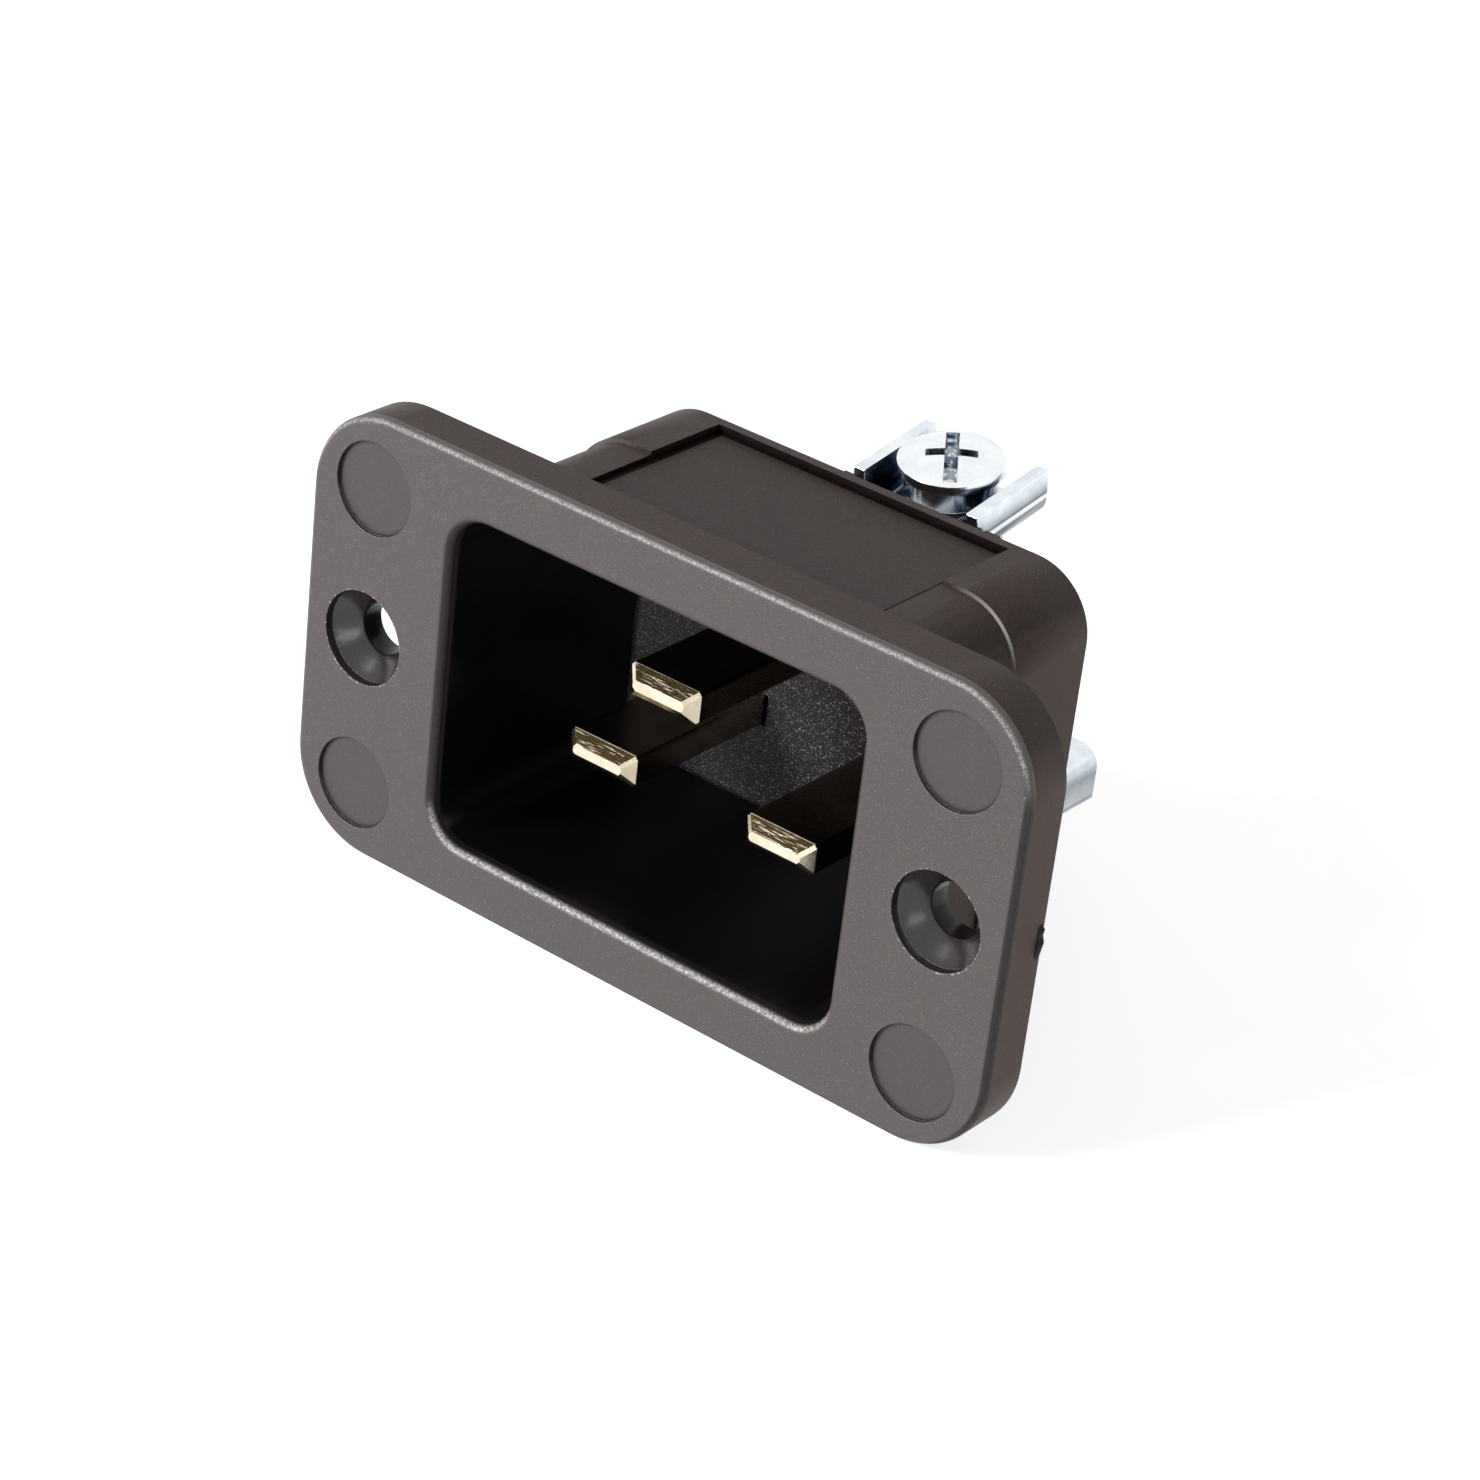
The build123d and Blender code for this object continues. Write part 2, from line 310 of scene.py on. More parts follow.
def above(tree, value, limit):
    """1 where a value is above a limit."""
    return math_node(tree, "GREATER_THAN", value, limit)


def inside(tree, value, limit):
    """1 where the size of a value is below a limit."""
    return below(tree, size_of(tree, value), limit)


def between(tree, value, low, high):
    """1 where a value lies between two limits."""
    return times(tree, above(tree, value, low), below(tree, value, high))


def spread(tree, value, low, high, from_low=0.0, from_high=1.0):
    """Maps a value from one range to another."""
    node = add(
        tree, "ShaderNodeMapRange",
        in_From_Min=from_low, in_From_Max=from_high, in_To_Min=low, in_To_Max=high,
    )
    tree.links.new(value, node.inputs["Value"])
    return node.outputs["Result"]


def rise(tree, value, start, end):
    """0 where a value is at the start or before it, and 1 at the end or past it."""
    return spread(tree, value, 0.0, 1.0, start, end)


def fall(tree, value, start, end):
    """1 where a value is at the start or before it, and 0 at the end or past it."""
    return spread(tree, value, 1.0, 0.0, start, end)


def place_in_mm(tree):
    """The point's place on its part, in millimetres."""
    where = tree.nodes.new("ShaderNodeTexCoord")
    scaled = add(tree, "ShaderNodeVectorMath", operation="SCALE", in_Scale=1 / MM)
    tree.links.new(where.outputs["Object"], scaled.inputs[0])
    return scaled.outputs[0]


def split(tree, vector):
    """The X, Y and Z of a vector."""
    axes = tree.nodes.new("ShaderNodeSeparateXYZ")
    tree.links.new(vector, axes.inputs[0])
    return axes.outputs


def facing(tree):
    """The X, Y and Z of the way that the surface faces on its part."""
    return split(tree, tree.nodes.new("ShaderNodeTexCoord").outputs["Normal"])


def stretched(tree, place, scale):
    """A place scaled along each axis, so that a noise in it makes lines or streaks."""
    scaled = add(tree, "ShaderNodeVectorMath", operation="MULTIPLY")
    scaled.inputs[1].default_value = scale
    tree.links.new(place, scaled.inputs[0])
    return scaled.outputs[0]


def noise(tree, place, scale, detail=2.0, roughness=0.5):
    """A cloudy pattern with values round one half."""
    node = add(
        tree, "ShaderNodeTexNoise",
        in_Scale=scale, in_Detail=detail, in_Roughness=roughness,
    )
    tree.links.new(place, node.inputs["Vector"])
    return node.outputs["Fac"]


def blend_colour(tree, factor, first, second):
    """Mixes two colours, each a value or a socket."""
    node = add(tree, "ShaderNodeMix", data_type="RGBA")
    for socket, value in zip((node.inputs[0], *node.inputs[6:8]), (factor, first, second)):
        if isinstance(value, bpy.types.NodeSocket):
            tree.links.new(value, socket)
        elif isinstance(value, (int, float)):
            socket.default_value = value
        else:
            socket.default_value = (*value, 1.0)
    return node.outputs[2]


def blend_value(tree, factor, first, second):
    """Mixes two numbers, each a value or a socket."""
    node = add(tree, "ShaderNodeMix", data_type="FLOAT")
    for socket, value in zip((node.inputs[0], *node.inputs[2:4]), (factor, first, second)):
        if isinstance(value, bpy.types.NodeSocket):
            tree.links.new(value, socket)
        else:
            socket.default_value = value
    return node.outputs[0]


def layered(tree, colour, layers):
    """Lays colours over one another, each with the share that it takes."""
    for share, over in layers:
        colour = blend_colour(tree, share, colour, over)
    return colour


def bump(tree, shader, height, strength, depth):
    """Roughens a shader's surface by a height from 0 to 1."""
    node = add(tree, "ShaderNodeBump", in_Strength=strength, in_Distance=depth)
    tree.links.new(height, node.inputs["Height"])
    tree.links.new(node.outputs["Normal"], shader.inputs["Normal"])


def shade_in_gaps(tree, reach):
    """1 in the open and less where other surfaces lie closer than the reach in millimetres."""
    node = add(tree, "ShaderNodeAmbientOcclusion", samples=8, in_Distance=reach * MM)
    return node.outputs["AO"]


def seen_or_mirrored(tree):
    """1 for rays from the camera, from a glossy surface or through glass."""
    path = tree.nodes.new("ShaderNodeLightPath")
    seen = math_node(
        tree, "MAXIMUM", path.outputs["Is Camera Ray"], path.outputs["Is Glossy Ray"]
    )
    return math_node(tree, "MAXIMUM", seen, path.outputs["Is Transmission Ray"])


def near_mirrored_point(tree, x, z, at_x, at_z, radius):
    """1 within a radius of a point in the front face or of its mirror images."""
    away_x = math_node(tree, "SUBTRACT", size_of(tree, x), at_x)
    away_z = math_node(tree, "SUBTRACT", size_of(tree, z), at_z)
    square = math_node(
        tree, "ADD", times(tree, away_x, away_x), times(tree, away_z, away_z)
    )
    return below(tree, square, radius * radius)


def near_screw_hole(tree, x, z, radius):
    """1 within a radius of either screw hole's axis."""
    return near_mirrored_point(tree, x, z, SCREW_HOLE_X, 0.0, radius)


def housing_areas(tree, x, y, z):
    """The housing's areas by name, each 1 within the area and 0 elsewhere."""
    in_cavity = times(tree, inside(tree, x, CAVITY_HALF_X), inside(tree, z, CAVITY_HALF_Z))
    behind_lip = rise(tree, y, LIP_END_Y - LIP_BLEND, LIP_END_Y + LIP_BLEND)
    in_face = between(tree, y, FRONT_Y + MARGIN, -MARGIN)
    on_field = near_mirrored_point(tree, x, z, FIELD_X, FIELD_Z, FIELD_RADIUS)
    seats = times(tree, near_screw_hole(tree, x, z, SCREW_SEAT_RADIUS), in_face)
    in_label = times(
        tree,
        inside(tree, x, LABEL_HALF_X + FINE_MARGIN),
        between(tree, y, 0.0, LABEL_END_Y + FINE_MARGIN),
    )
    label = times(tree, in_label, between(tree, z, LABEL_Z - MARGIN, LABEL_Z + MARGIN))
    label_walls = times(tree, in_label, above(tree, z, LABEL_Z + LABEL_WALL_START))
    label_middle = times(
        tree,
        inside(tree, x, LABEL_HALF_X - LABEL_SIDE_BORDER),
        below(tree, y, LABEL_END_Y - LABEL_END_BORDER),
    )
    label_border = times(tree, label, without(tree, label_middle))
    round_mouth = times(
        tree,
        inside(tree, x, CAVITY_HALF_X + LIP_WIDTH),
        inside(tree, z, CAVITY_HALF_Z + LIP_WIDTH),
    )
    in_lip = rise(tree, y, FRONT_Y, LIP_END_Y - LIP_FADE)
    in_floor = between(tree, y, CAVITY_FLOOR_Y, CAVITY_FLOOR_Y + CAVITY_FLOOR_DEPTH)
    # The walls, lip, bores and corners take painted shade; the floor takes painted light
    return {
        "walls": times(tree, in_cavity, behind_lip, below(tree, y, CAVITY_FLOOR_Y)),
        "floor": times(tree, in_cavity, in_floor),
        "seats": seats,
        "bores": times(tree, seats, above(tree, y, SCREW_BORE_Y)),
        "fields": times(tree, on_field, in_face),
        "label": label,
        # Painted shade goes on the label's walls and along its border
        "corners": either(tree, label_walls, label_border),
        "front": below(tree, y, LIP_END_Y),
        "lip": times(tree, round_mouth, in_lip, below(tree, y, LIP_END_Y + MARGIN)),
    }


def painted_rim_highlight(tree, y, z, way_y, way_z, grain, fine):
    """Painted highlight: bright points where the flange's rounded edges and the lip turn up to the
    light.
    """
    turned_up = rise(tree, way_z, 0.06, 0.36)
    forward = fall(tree, way_y, -0.85, -0.45)
    off_flat = rise(tree, way_y, -0.995, -0.90)
    weaker_on_top = spread(tree, z, 1.0, 0.6, *TOP_EDGE_Z)
    points = either(
        tree,
        rise(tree, grain, 0.46, 0.60),
        spread(tree, fine, 0.1, 0.9, 0.45, 0.62),
    )
    at_front = below(tree, y, LIP_END_Y + MARGIN)
    return times(tree, turned_up, forward, off_flat, at_front, weaker_on_top, points)


def painted_step_highlight(tree, x, y, z):
    """Painted highlight: the bright line where the body's step rounds its upper corners, stronger
    on the right.
    """
    at_step = between(tree, y, BODY_STEP_Y - FINE_MARGIN, BODY_STEP_Y + FINE_MARGIN)
    off_centre = rise(tree, size_of(tree, x), *STEP_SPARKLE_X)
    high = rise(tree, z, *STEP_SPARKLE_Z)
    right = spread(tree, x, 0.3, 0.85, -1.0, 1.0)
    return times(tree, at_step, off_centre, high, right)


def painted_seat_edge_glints(tree, x, y, z, seats, grain):
    """Painted glints: bright points along the front edge of each countersunk seat."""
    near = near_screw_hole(tree, x, z, SCREW_SEAT_RADIUS + MARGIN)
    at_edge = times(tree, near, without(tree, seats), below(tree, y, FRONT_Y + SEAT_EDGE_DEPTH))
    return times(tree, at_edge, spread(tree, grain, 0.0, 0.7, 0.54, 0.62))


def black_plastic():
    """Black moulded plastic: grained outside, polished in the cavity, smoother where sunk, with
    painted shade, painted light, painted highlights and painted glints in its colour.
    """
    material, tree, shader = new_material("black_plastic")
    place = place_in_mm(tree)
    x, y, z = split(tree, place)
    way_x, way_y, way_z = facing(tree)
    area = housing_areas(tree, x, y, z)
    front, walls, seats = area["front"], area["walls"], area["seats"]

    grain = noise(tree, place, *GRAIN)
    fine = noise(tree, place, *FINE_GRAIN)
    mottle = noise(tree, place, *MOTTLE)
    tone = math_node(
        tree, "ADD", spread(tree, grain, -0.35, 0.35), spread(tree, mottle, -0.15, 0.15)
    )
    # Painted light: side faces lighter brown
    painted_side_light = times(
        tree,
        rise(tree, size_of(tree, way_x), 0.80, 0.97),
        above(tree, y, FRONT_Y + SIDE_FACE_START),
    )
    # Painted shade: front surfaces that face right are darkened
    shaded_right_edge = times(
        tree,
        rise(tree, way_x, 0.15, 0.40),
        front,
        fall(tree, way_z, 0.0, 0.25),
    )
    outer = blend_colour(
        tree, rise(tree, tone, -0.3, 0.3), OUTER_DARK, OUTER_LIGHT
    )
    # Over the grain: a greyer front, darker sunk areas, and painted shade, painted light, painted
    # highlights and painted glints
    outer = layered(tree, outer, (
        (times(tree, front, 0.5), FRONT_GREY),
        (times(tree, rise(tree, fine, 0.60, 0.70), 0.4), OUTER_PAINTED_GLINT),
        (times(tree, area["label"], 0.25), SUNK_BLACK),
        (times(tree, area["fields"], 0.5), SUNK_BLACK),
        (times(tree, area["lip"], 0.9), LIP_PAINTED_SHADE),
        (painted_rim_highlight(tree, y, z, way_y, way_z, grain, fine), RIM_PAINTED_HIGHLIGHT),
        (painted_step_highlight(tree, x, y, z), STEP_PAINTED_HIGHLIGHT),
        (times(tree, painted_side_light, 0.5), SIDE_PAINTED_LIGHT),
        (times(tree, shaded_right_edge, 0.55), TURNED_PAINTED_SHADE),
        (painted_seat_edge_glints(tree, x, y, z, seats, grain), SEAT_EDGE_PAINTED_GLINT),
        (times(tree, seats, 0.7), SEAT_BLACK),
        (times(tree, area["bores"], 0.8), BORE_PAINTED_SHADE),
        (times(tree, area["corners"], 0.85), CORNER_PAINTED_SHADE),
    ))
    # Painted light: the cavity floor lighter on the left and darker on the right
    painted_light_across_floor = rise(tree, x, *FLOOR_PAINTED_LIGHT_X)
    deep = blend_colour(tree, painted_light_across_floor, CAVITY_FLOOR_PAINTED_LIGHT, CAVITY_FLOOR_PAINTED_SHADE)
    # Painted glints on the cavity floor
    deep = blend_colour(tree, rise(tree, fine, 0.60, 0.68), deep, CAVITY_FLOOR_PAINTED_GLINT)
    # Painted shade: the cavity's walls near black
    colour = layered(tree, outer, ((walls, CAVITY_WALL_PAINTED_SHADE), (area["floor"], deep)))
    # Painted shade: near black where other surfaces lie close, kept off the body's step
    open_sky = either(
        tree,
        rise(tree, shade_in_gaps(tree, PLASTIC_GAP), 0.45, 0.85),
        between(tree, y, BODY_STEP_Y - STEP_REACH, BODY_STEP_Y + STEP_REACH),
    )
    colour = blend_colour(tree, open_sky, GAP_PAINTED_SHADE, colour)
    tree.links.new(colour, shader.inputs["Base Color"])

    rough = spread(tree, grain, *PLASTIC_ROUGHNESS)
    rough = blend_value(tree, seats, rough, SEAT_ROUGHNESS)
    rough = blend_value(tree, walls, rough, WALL_ROUGHNESS)
    tree.links.new(rough, shader.inputs["Roughness"])
    dull = times(tree, either(tree, area["lip"], shaded_right_edge), 0.85)
    shine = blend_value(tree, front, 0.10, 0.70)
    shine = blend_value(tree, dull, shine, 0.08)
    shine = blend_value(tree, either(tree, seats, walls), shine, 0.5)
    gloss = times(
        tree,
        shine,
        blend_value(tree, open_sky, 0.2, 1.0),
        blend_value(tree, either(tree, area["corners"], area["bores"]), 1.0, 0.3),
    )
    tree.links.new(gloss, shader.inputs["Specular IOR Level"])

    smoother = either(tree, area["fields"], area["label"])
    quiet = either(tree, times(tree, walls, 0.9), seats, times(tree, smoother, 0.6))
    relief = math_node(tree, "ADD", times(tree, grain, 0.7), times(tree, fine, 0.3))
    relief = times(tree, relief, without(tree, times(tree, quiet, 0.95)))
    bump(tree, shader, relief, 0.75, PLASTIC_GRAIN_DEPTH * MM)
    return material


def plated_brass():
    """Nickel-plated brass with fine drawing lines along the blade and a warm cast, with painted
    dark reflections on the blade and on the tip's facets.
    """
    material, tree, shader = new_material("plated_brass")
    place = place_in_mm(tree)
    way_x, way_y, way_z = facing(tree)
    lines = noise(tree, stretched(tree, place, ALONG_BLADE), *DRAWN_LINES)
    cloud = noise(tree, place, *BRASS_CLOUD)
    blotch = noise(tree, place, *BRASS_BLOTCH)
    across = noise(tree, stretched(tree, place, ACROSS_TIP), *TIP_STREAKS)

    ahead = rise(tree, way_y, -0.10, -0.25)
    blade = times(tree, below(tree, split(tree, place)[1], CAVITY_FLOOR_Y), without(tree, ahead))
    tip_top = times(
        tree,
        between(tree, way_z, 0.40, 0.80),
        ahead,
        spread(tree, across, 0.60, 1.0, 0.36, 0.44),
    )
    tip_side = times(tree, between(tree, way_x, 0.35, 0.90), ahead, 0.5)
    colour = blend_colour(
        tree, rise(tree, cloud, 0.3, 0.7), BRASS_DARK, BRASS_LIGHT
    )
    # Painted reflections: the blade dark brown, darker streaks on the tip's upper facets, darker
    # side facets
    colour = layered(tree, colour, (
        (spread(tree, blotch, 0.0, 0.22, 0.50, 0.70), BRASS_STAIN),
        (times(tree, blade, 0.7), BLADE_PAINTED_REFLECTION),
        (tip_top, TIP_TOP_PAINTED_REFLECTION),
        (tip_side, TIP_SIDE_PAINTED_REFLECTION),
    ))
    tree.links.new(colour, shader.inputs["Base Color"])
    shader.inputs["Metallic"].default_value = 1.0
    crest = times(tree, between(tree, way_z, 0.80, 0.98), ahead)
    rough = blend_value(tree, crest, spread(tree, lines, *BRASS_ROUGHNESS), CREST_ROUGHNESS)
    tree.links.new(rough, shader.inputs["Roughness"])
    relief = math_node(tree, "ADD", lines, times(tree, blotch, 0.4))
    bump(tree, shader, relief, 0.2, BRASS_GRAIN_DEPTH * MM)
    return material


def height_on_screw(tree, place):
    """A point's height over the earth tail, its height over a line tail, and 1 on the earth's."""
    _, y, z = split(tree, place)
    away = math_node(tree, "SUBTRACT", y, EARTH_SCREW_Y)
    up = math_node(tree, "SUBTRACT", z, EARTH_SCREW_Z)
    on_earth = math_node(
        tree, "SUBTRACT",
        times(tree, up, math.cos(EARTH_LEAN)), times(tree, away, math.sin(EARTH_LEAN)),
    )
    on_line = math_node(tree, "SUBTRACT", LINE_TAIL_Z, z)
    return on_earth, on_line, above(tree, z, 0.0)


def bands(tree, value, reach, stops):
    """Painted reflection: a grey that follows a value from one stop to the next, as a fold mirrors
    its surroundings.
    """
    ramp = tree.nodes.new("ShaderNodeValToRGB")
    marks = ramp.color_ramp.elements
    while len(marks) < len(stops):
        marks.new(0.5)
    for mark, (at, grey) in zip(marks, stops):
        mark.position = at / reach
        mark.color = (grey * 0.95, grey * 0.98, grey, 1.0)
    tree.links.new(math_node(tree, "DIVIDE", value, reach), ramp.inputs[0])
    return ramp.outputs[0]


def painted_fold_reflections(tree, place, colour):
    """Paints on a clamp's side walls, as painted reflections, the dark and bright bands that its
    folds mirror.
    """
    on_earth, on_line, is_earth = height_on_screw(tree, place)
    from_earth_web = math_node(tree, "SUBTRACT", on_earth, EARTH_CLAMP_FOOT)
    from_line_web = math_node(tree, "SUBTRACT", on_line, LINE_CLAMP_FOOT)
    upper = bands(tree, from_earth_web, CLAMP_HEIGHT, EARTH_PAINTED_REFLECTIONS)
    lower = bands(tree, from_line_web, CLAMP_HEIGHT, LINE_PAINTED_REFLECTIONS)
    wall = blend_colour(tree, is_earth, lower, upper)
    tint = add(tree, "ShaderNodeMix", data_type="RGBA", blend_type="MULTIPLY")
    tint.inputs[0].default_value = 1.0
    tree.links.new(colour, tint.inputs[6])
    tree.links.new(wall, tint.inputs[7])
    sideways = rise(tree, size_of(tree, facing(tree)[0]), 0.25, 0.55)
    return blend_colour(tree, sideways, colour, tint.outputs[2])


def zinc(name, base, light, roughness, is_sheet):
    """Bright blue zinc plate with a slight cloud in its tint, with painted shade in gaps and on
    undersides, painted reflections on a sheet's folds and painted glints on a screw.
    """
    material, tree, shader = new_material(name)
    place = place_in_mm(tree)
    cloud = noise(tree, place, *ZINC_CLOUD)
    fine = noise(tree, place, *ZINC_FINE)
    ripple = noise(tree, place, *ZINC_RIPPLE)
    colour = blend_colour(tree, rise(tree, cloud, 0.35, 0.65), base, light)
    # Painted shade in gaps, with painted glints on a screw
    open_sky = rise(tree, shade_in_gaps(tree, ZINC_GAP), 0.30, 0.78)
    if is_sheet:
        colour = painted_fold_reflections(tree, place, colour)
    else:
        glints = spread(tree, noise(tree, place, *ZINC_GLINTS), 0.0, 0.75, 0.50, 0.60)
        open_sky = either(tree, open_sky, glints)
    colour = blend_colour(tree, open_sky, ZINC_GAP_PAINTED_SHADE, colour)
    # Painted shade on undersides, as a dark reflection
    way_z = split(tree, tree.nodes.new("ShaderNodeNewGeometry").outputs["Normal"])[2]
    underside = fall(tree, way_z, -0.55, -0.15)
    colour = blend_colour(tree, times(tree, underside, 0.8), colour, ZINC_UNDERSIDE_PAINTED_SHADE)
    tree.links.new(colour, shader.inputs["Base Color"])
    shader.inputs["Metallic"].default_value = 1.0
    rough = spread(tree, fine, roughness * 0.7, roughness * 1.3)
    tree.links.new(rough, shader.inputs["Roughness"])
    relief = math_node(tree, "ADD", times(tree, fine, 0.3), ripple)
    bump(tree, shader, relief, 0.15, ZINC_GRAIN_DEPTH * MM)
    return material


def torn_plastic():
    """The darker plastic of the mould's torn gate."""
    material, tree, shader = new_material("torn_plastic")
    tone = noise(tree, place_in_mm(tree), *TORN_TONE)
    colour = blend_colour(tree, tone, GATE_DARK, GATE_LIGHT)
    tree.links.new(colour, shader.inputs["Base Color"])
    shader.inputs["Roughness"].default_value = TORN_ROUGHNESS
    shader.inputs["Specular IOR Level"].default_value = 0.2
    return material


def soften(node, width):
    """Rounds a node's sharp edges a little, as moulding, plating and stamping leave them."""
    weld = node.modifiers.new("weld", "WELD")
    weld.merge_threshold = WELD_DISTANCE * MM
    round_edges = node.modifiers.new("round_edges", "BEVEL")
    round_edges.width = width * MM
    round_edges.segments = 2
    round_edges.limit_method = "ANGLE"
    round_edges.angle_limit = EDGE_ANGLE
    round_edges.harden_normals = True


def dress(nodes):
    """Gives each piece of the frame its material and softened edges, and the screws a thread."""
    plastic = black_plastic()
    brass = plated_brass()
    sheet = zinc("zinc_sheet", SHEET_BASE, SHEET_LIGHT, SHEET_ROUGHNESS, True)
    screw = zinc("zinc_screw", SCREW_BASE, SCREW_LIGHT, SCREW_ROUGHNESS, False)
    for name, node in nodes.items():
        if name == "housing":
            material = plastic
        elif name.endswith("_pin"):
            material = brass
        elif name.endswith("_clamp"):
            material = sheet
        else:
            material = screw
        node.data.materials.clear()
        node.data.materials.append(material)
        soften(node, PLASTIC_EDGE if name == "housing" else METAL_EDGE)
    for name in ("line", "neutral", "earth"):
        threaded_shank(name, screw)
        screw_head(name, nodes[name + "_screw"], screw)


def screw_axis(name):
    """Where a screw crosses its tail, the way that it faces and its seat's height."""
    if name == "earth":
        up = Vector((0, -math.sin(EARTH_LEAN), math.cos(EARTH_LEAN)))
        return Vector((0, EARTH_SCREW_Y, EARTH_SCREW_Z)), up, EARTH_SEAT
    side = LINE_SCREW_X if name == "line" else -LINE_SCREW_X
    return Vector((side, LINE_SCREW_Y, LINE_TAIL_Z)), Vector((0, 0, -1)), LINE_SEAT


def shown(name, data):
    """An object with the given data in the scene."""
    item = bpy.data.objects.new(name, data)
    bpy.context.scene.collection.objects.link(item)
    return item


def new_piece(name, mesh, material, body):
    """Shows a mesh with its material and lets it move with its body."""
    piece = shown(name, mesh)
    mesh.materials.clear()
    mesh.materials.append(material)
    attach(piece, body)
    return piece


def skin(rows, around):
    """The faces of a closed tube of rings, with an end at each side."""
    faces = [tuple(range(around))[::-1], tuple(range((rows - 1) * around, rows * around))]
    for row in range(rows - 1):
        for step in range(around):
            first, second = row * around + step, row * around + (step + 1) % around
            faces.append((first, second, second + around, first + around))
    return faces


def fullness(turns):
    """How far a thread stands out of its root after some turns, from 0 to 1 on the crest."""
    slope = 1 - abs(2 * (turns % 1) - 1)
    return min(max(1.6 * slope - 0.3, 0), 1)


def threaded_shank(name, material):
    """A screw's shank with its thread, from the bevelled tip up to the seat of the washer."""
    foot, up, seat = screw_axis(name)
    side = Vector((1, 0, 0))
    across = up.cross(side)
    rows = round(SHANK_LENGTH / THREAD_PITCH * THREAD_RINGS) + 1
    vertices = []
    for row in range(rows):
        from_tip = SHANK_LENGTH * row / (rows - 1)
        depth = THREAD_DEPTH * min(1, (SHANK_LENGTH - from_tip) / THREAD_PITCH)
        bevelled = SHANK_RADIUS - max(0, TIP_BEVEL - from_tip)
        for step in range(THREAD_STEPS):
            share = step / THREAD_STEPS
            radius = SHANK_RADIUS - depth * (1 - fullness(from_tip / THREAD_PITCH - share))
            angle = share * 2 * math.pi
            out = (side * math.cos(angle) + across * math.sin(angle)) * min(radius, bevelled)
            vertices.append((foot + up * (seat - SHANK_LENGTH + from_tip) + out) * MM)
    mesh = bpy.data.meshes.new(name + "_screw_thread")
    mesh.from_pydata(vertices, [], skin(rows, THREAD_STEPS))
    for face in mesh.polygons:
        face.use_smooth = len(face.vertices) == 4
    new_piece(name + "_screw_thread", mesh, material, name + "_screw")


def screw_head(name, node, material):
    """A copy of a screw's head without its plain shank, in the node's place."""
    foot, up, seat = screw_axis(name)
    mesh = node.data.copy()
    form = bmesh.new()
    form.from_mesh(mesh)
    shank = set()
    for vertex in form.verts:
        away = vertex.co / MM - foot
        height = away.dot(up)
        off_axis = (away - up * height).length
        if height < seat + SAME_PLACE and off_axis < SHANK_RADIUS + SAME_PLACE:
            shank.add(vertex)
    plain = [face for face in form.faces if shank.issuperset(face.verts)]
    bmesh.ops.delete(form, geom=plain, context="FACES")
    form.to_mesh(mesh)
    form.free()
    mesh.name = name + "_screw_head"
    head = new_piece(name + "_screw_head", mesh, material, name + "_screw")
    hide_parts(name + "_screw")
    soften(head, METAL_EDGE)


def gate_mark():
    """The torn stub that the mould's gate left on the flange's right edge."""
    vertices = []
    for ring in range(GATE_RINGS):
        along = ring / (GATE_RINGS - 1) * 2 - 1
        full = math.sqrt(max(1 - along ** 4, 0.02))
        torn = 0.75 + 0.25 * math.cos(ring * 2.3)
        for step in range(GATE_STEPS):
            angle = step / GATE_STEPS * 2 * math.pi
            out = GATE_PROUD * torn * full * math.cos(angle)
            across = GATE_HALF_WIDTH * full * math.sin(angle)
            place = (GATE_X + out, GATE_Y + across, GATE_Z + along * GATE_HALF_LENGTH)
            vertices.append(tuple(value * MM for value in place))
    mesh = bpy.data.meshes.new("gate_mark")
    mesh.from_pydata(vertices, [], skin(GATE_RINGS, GATE_STEPS))
    new_piece("gate_mark", mesh, torn_plastic(), "housing")


def studio_world():
    """White to the eye and in reflections, and a plain soft light on the object."""
    world = bpy.data.worlds.new("studio")
    bpy.context.scene.world = world
    world.use_nodes = True
    tree = world.node_tree
    tree.nodes.clear()
    output = tree.nodes.new("ShaderNodeOutputWorld")
    light = add(tree, "ShaderNodeBackground", in_Color=(1, 1, 1, 1), in_Strength=WORLD_LIGHT)
    white = add(tree, "ShaderNodeBackground", in_Color=(1, 1, 1, 1), in_Strength=1.0)
    mix = tree.nodes.new("ShaderNodeMixShader")
    tree.links.new(seen_or_mirrored(tree), mix.inputs[0])
    tree.links.new(light.outputs[0], mix.inputs[1])
    tree.links.new(white.outputs[0], mix.inputs[2])
    tree.links.new(mix.outputs[0], output.inputs["Surface"])


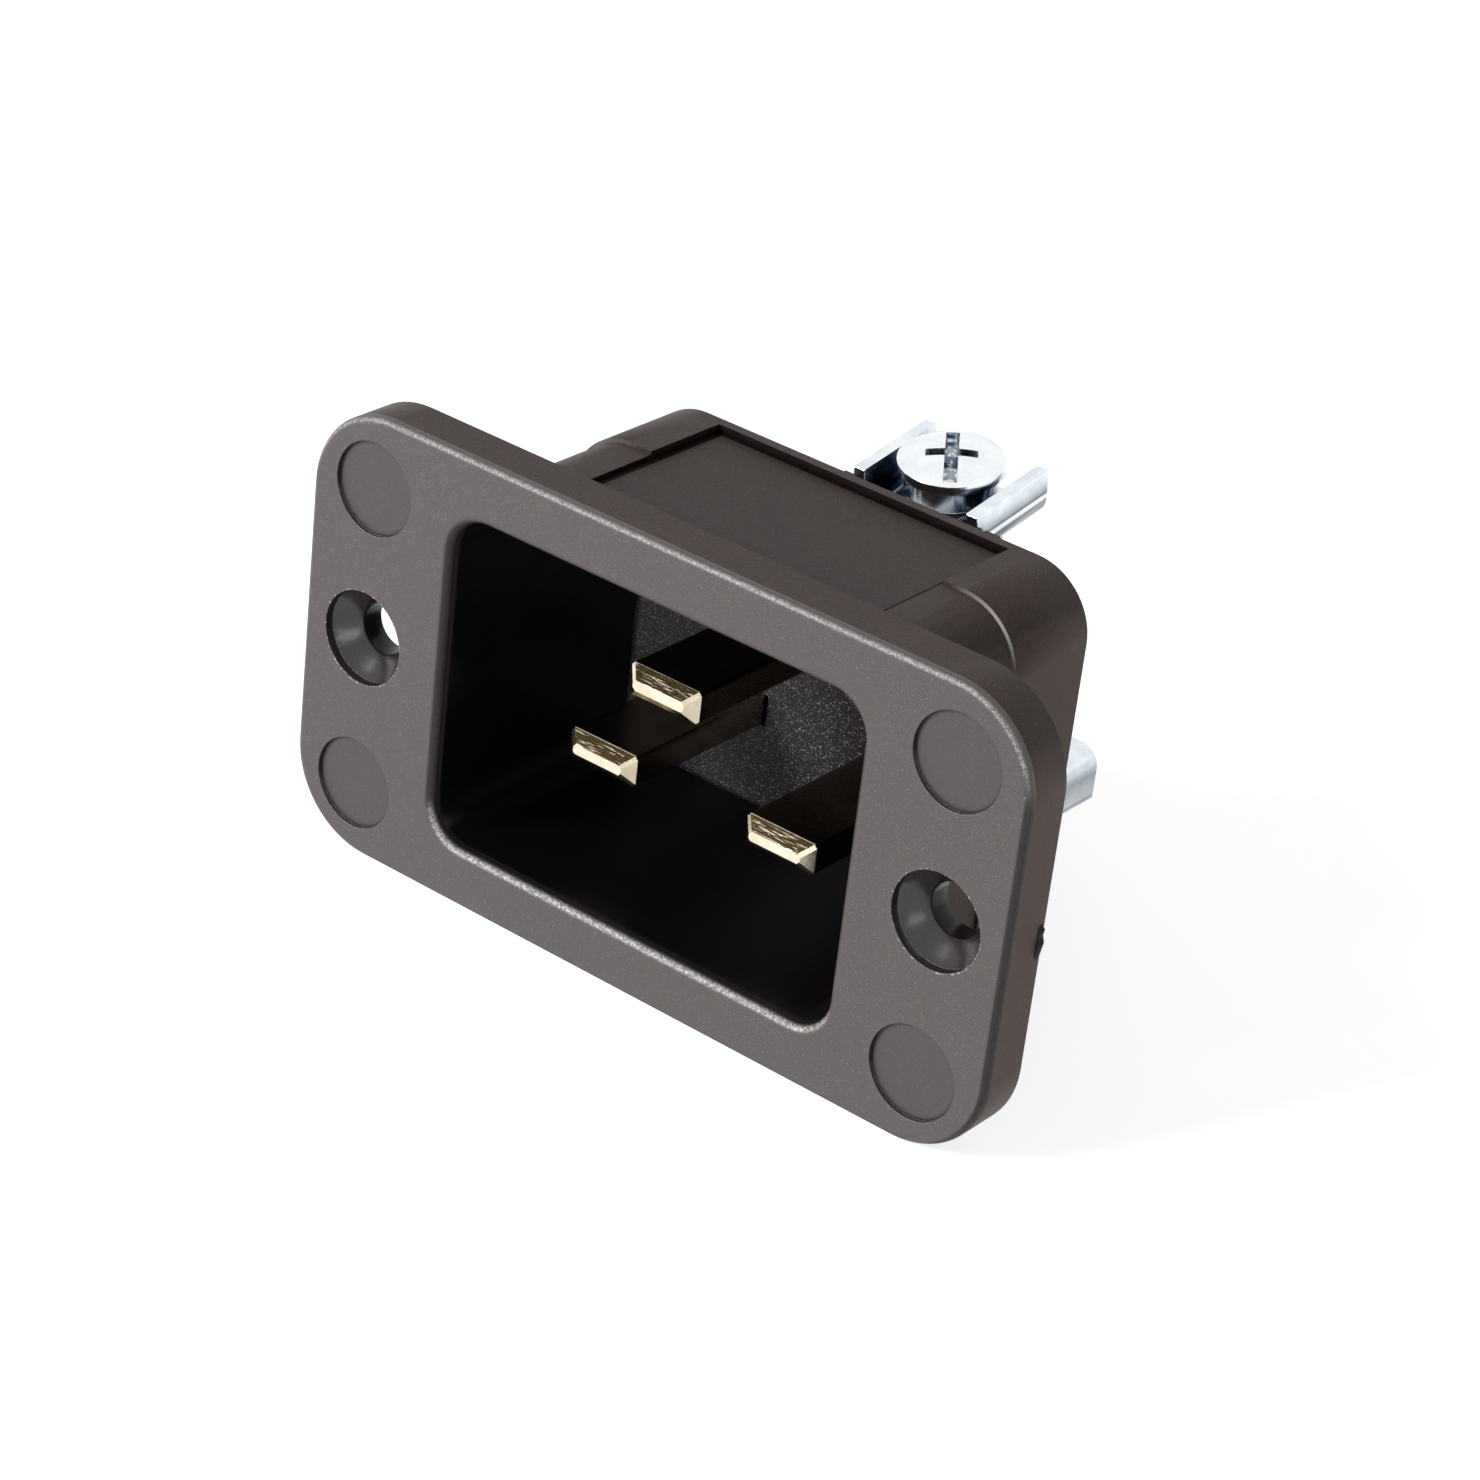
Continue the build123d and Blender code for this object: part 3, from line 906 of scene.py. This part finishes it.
def pale_floor(height):
    """A plain white floor that keeps the object's soft shadow."""
    mesh = bpy.data.meshes.new("floor")
    ways = ((-1, -1), (1, -1), (1, 1), (-1, 1))
    corners = [(FLOOR_REACH * x, FLOOR_REACH * y, height) for x, y in ways]
    mesh.from_pydata(corners, [], [(0, 1, 2, 3)])
    floor = shown("floor", mesh)
    material, tree, shader = new_material("floor_white")
    cloud = noise(tree, place_in_mm(tree), *FLOOR_CLOUD)
    colour = blend_colour(tree, cloud, FLOOR_DARK, FLOOR_LIGHT)
    tree.links.new(colour, shader.inputs["Base Color"])
    shader.inputs["Roughness"].default_value = FLOOR_ROUGHNESS
    glow = times(tree, seen_or_mirrored(tree), FLOOR_GLOW)
    tree.links.new(glow, shader.inputs["Emission Strength"])
    shader.inputs["Emission Color"].default_value = (1, 1, 1, 1)
    mesh.materials.append(material)


def softbox(name, place, size, power):
    """A square area lamp that faces the object."""
    lamp = bpy.data.lights.new(name, "AREA")
    lamp.shape = "SQUARE"
    lamp.size = size
    lamp.energy = power
    holder = shown(name, lamp)
    holder.location = place
    holder.rotation_mode = "QUATERNION"
    holder.rotation_quaternion = (-Vector(place)).to_track_quat("-Z", "Y")


def photo_camera():
    """The camera where the photograph was taken from."""
    azimuth, elevation, roll = (
        math.radians(v) for v in (VIEW_AZIMUTH, VIEW_ELEVATION, VIEW_ROLL)
    )
    back = Vector((
        math.sin(azimuth) * math.cos(elevation),
        -math.cos(azimuth) * math.cos(elevation),
        math.sin(elevation),
    ))
    level_right = (-back).cross(Vector((0, 0, 1))).normalized()
    level_down = (-back).cross(level_right)
    right = math.cos(roll) * level_right + math.sin(roll) * level_down
    up = math.sin(roll) * level_right - math.cos(roll) * level_down
    data = bpy.data.cameras.new("camera")
    data.lens = VIEW_LENS
    data.sensor_width = SENSOR
    data.clip_start = CLIP_START
    data.clip_end = CLIP_END
    camera = shown("camera", data)
    turn = Matrix((right, up, back)).transposed().to_4x4()
    camera.matrix_world = Matrix.Translation(VIEW_TARGET + back * VIEW_DISTANCE) @ turn
    bpy.context.scene.camera = camera


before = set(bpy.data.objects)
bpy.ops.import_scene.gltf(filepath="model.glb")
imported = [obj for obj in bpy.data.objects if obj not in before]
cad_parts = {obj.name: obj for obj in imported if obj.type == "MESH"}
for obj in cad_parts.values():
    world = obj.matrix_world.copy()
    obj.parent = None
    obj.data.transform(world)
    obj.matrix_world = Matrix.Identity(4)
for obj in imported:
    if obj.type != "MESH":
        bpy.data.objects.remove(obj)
cad_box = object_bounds()
bpy.context.scene.view_settings.view_transform = "Standard"

dress(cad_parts)
gate_mark()
studio_world()
pale_floor(cad_box[0].z)
for lamp_name, (lamp_place, lamp_size, lamp_power) in LAMPS.items():
    softbox(lamp_name, lamp_place, lamp_size, lamp_power)
photo_camera()
